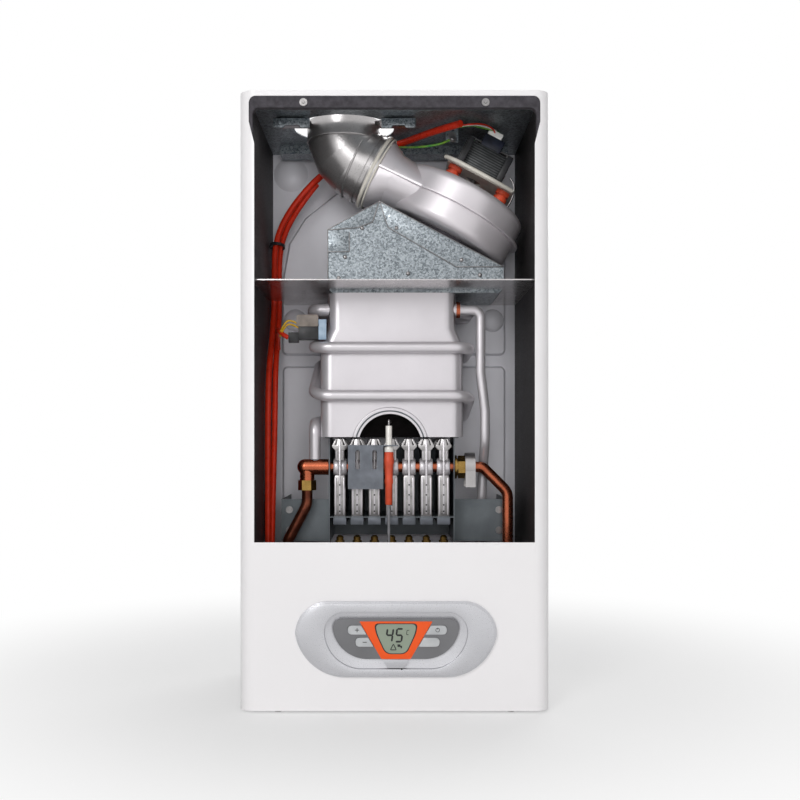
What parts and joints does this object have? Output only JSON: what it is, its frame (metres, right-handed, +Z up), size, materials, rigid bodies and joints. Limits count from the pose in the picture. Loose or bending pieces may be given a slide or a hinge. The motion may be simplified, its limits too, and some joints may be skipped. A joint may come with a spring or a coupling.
{
  "type": "gas water heater",
  "caption": "Wall-hung gas water heater with a window cut in its cover, showing the fan, heat exchanger, burner and pipes.",
  "frame": {"origin": "middle of the casing's back, on the wall plane", "axes": "+Z up, +X to the right seen from the front, the front faces -Y and the wall is at y = 0"},
  "size_m": [0.32, 0.2304, 0.6386],
  "materials": {
    "enamel": "gloss powder coat",
    "galvanised": "spangled zinc",
    "black_lining": "satin black",
    "foam": "closed cell foam",
    "steel": "satin",
    "aluminium_alloy": "die cast and pressed",
    "laminations": "stacked sheet",
    "black_plastic": "moulded",
    "red_silicone": "smooth",
    "tinned_copper": "dipped tin",
    "copper": "drawn copper",
    "brass_alloy": "turned",
    "white_ceramic": "sintered",
    "silver_plastic": "metallic lacquer",
    "orange_plastic": "gloss",
    "display_glass": "reflective display",
    "green_board": "solder mask",
    "white_plastic": "moulded"
  },
  "bodies": {
    "heater": {"front_cover": "enamel", "rear_panel": "galvanised", "side_walls": "black_lining", "top_plate": "galvanised", "bottom_plate": "galvanised", "foam_seals": "foam", "fixing_screws": "steel", "flue_collar": "galvanised", "flue_elbow": "steel", "fan_outlet_band": "steel", "fan_housing_lower": "aluminium_alloy", "fan_housing_upper": "aluminium_alloy", "motor_stator": "laminations", "motor_bridges": "steel", "motor_terminal": "black_plastic", "fan_bracket": "steel", "fan_dampers": "red_silicone", "fume_hood": "galvanised", "exchanger_jacket": "tinned_copper", "exchanger_fins": "copper", "exchanger_tubes": "copper", "exchanger_coil": "tinned_copper", "support_shelf": "galvanised", "burner_blades": "steel", "burner_frame": "galvanised", "burner_brackets": "galvanised", "water_header": "copper", "brass_unions": "brass_alloy", "cold_pipe": "copper", "hot_pipe": "tinned_copper", "bypass_pipes": "copper", "spring_clip": "steel", "gas_manifold": "aluminium_alloy", "gas_nozzles": "brass_alloy", "gas_valve": "aluminium_alloy", "pipe_nipples": "brass_alloy", "flow_sensor": "black_plastic", "mixing_block": "brass_alloy", "electrode_bracket": "galvanised", "ignition_electrode": "white_ceramic", "ignition_lead": "red_silicone", "ignition_transformer": "black_plastic", "pressure_switch": "black_plastic", "overheat_thermostat": "black_plastic", "bezel": "silver_plastic", "panel_plate": "silver_plastic", "display_mask": "orange_plastic", "display_screen": "display_glass", "control_box": "black_plastic", "control_board": "green_board", "wiring_harness": "red_silicone"},
    "fan_rotor": {"fan_impeller": "aluminium_alloy", "motor_shaft": "aluminium_alloy"},
    "shutoff": {"shutoff_plunger": "aluminium_alloy"},
    "modulator": {"modulating_plunger": "aluminium_alloy"},
    "turbine": {"flow_turbine": "white_plastic"},
    "plus_key": {"button_plus": "silver_plastic"},
    "minus_key": {"button_minus": "silver_plastic"},
    "power_key": {"button_power": "silver_plastic"},
    "mode_key": {"button_mode": "silver_plastic"}
  },
  "joints": [
    {"name": "fan_spin", "type": "hinge", "parent": "heater", "child": "fan_rotor", "pos_m": [0.069, -0.098, 0.2139], "axis": [0.4695, 0, 0.8829], "continuous": true},
    {"name": "turbine_spin", "type": "hinge", "parent": "heater", "child": "turbine", "pos_m": [-0.112, -0.09, -0.281], "axis": [0, 0, 1], "continuous": true},
    {"name": "shutoff_lift", "type": "slide", "parent": "heater", "child": "shutoff", "axis": [1, 0, 0], "range_m": [0, 0.0025], "stiffness_N_per_m": 400, "springref_m": -0.002},
    {"name": "modulator_lift", "type": "slide", "parent": "heater", "child": "modulator", "axis": [1, 0, 0], "range_m": [0, 0.0025], "stiffness_N_per_m": 400, "springref_m": -0.002},
    {"name": "plus_press", "type": "slide", "parent": "heater", "child": "plus_key", "axis": [0, 1, 0], "range_m": [0, 0.001], "stiffness_N_per_m": 900, "springref_m": -0.0005},
    {"name": "minus_press", "type": "slide", "parent": "heater", "child": "minus_key", "axis": [0, 1, 0], "range_m": [0, 0.001], "stiffness_N_per_m": 900, "springref_m": -0.0005},
    {"name": "power_press", "type": "slide", "parent": "heater", "child": "power_key", "axis": [0, 1, 0], "range_m": [0, 0.001], "stiffness_N_per_m": 900, "springref_m": -0.0005},
    {"name": "mode_press", "type": "slide", "parent": "heater", "child": "mode_key", "axis": [0, 1, 0], "range_m": [0, 0.001], "stiffness_N_per_m": 900, "springref_m": -0.0005}
  ]
}
